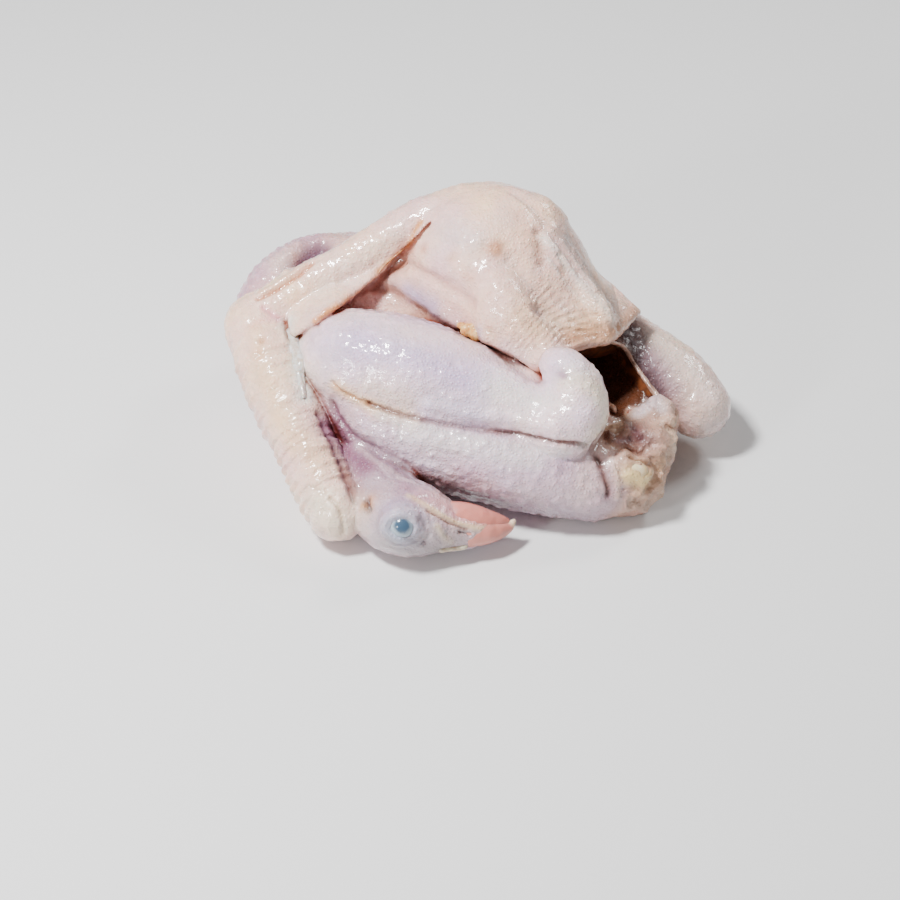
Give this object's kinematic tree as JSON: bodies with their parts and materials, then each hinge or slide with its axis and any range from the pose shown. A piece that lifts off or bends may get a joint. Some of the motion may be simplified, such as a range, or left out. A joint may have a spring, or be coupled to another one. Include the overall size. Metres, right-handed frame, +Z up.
{
  "type": "whole raw chicken",
  "caption": "Whole raw chicken lying on its back, plucked and drawn, near leg folded up, far leg stretched, near wing reaching down, neck turned back and head on its side.",
  "frame": {"origin": "centre of the footprint, on the surface that the bird lies on", "axes": "+Z up, +X along the longest extent of the lying bird, from the wing's elbow towards the end of the far leg, -Y towards the head and the near leg"},
  "size_m": [0.2021, 0.1693, 0.0955],
  "materials": {
    "skin": "wet, translucent, pimpled",
    "beak": "wet horn",
    "eye": "wet, clouded"
  },
  "bodies": {
    "root": {"chicken": "skin"}
  },
  "joints": []
}
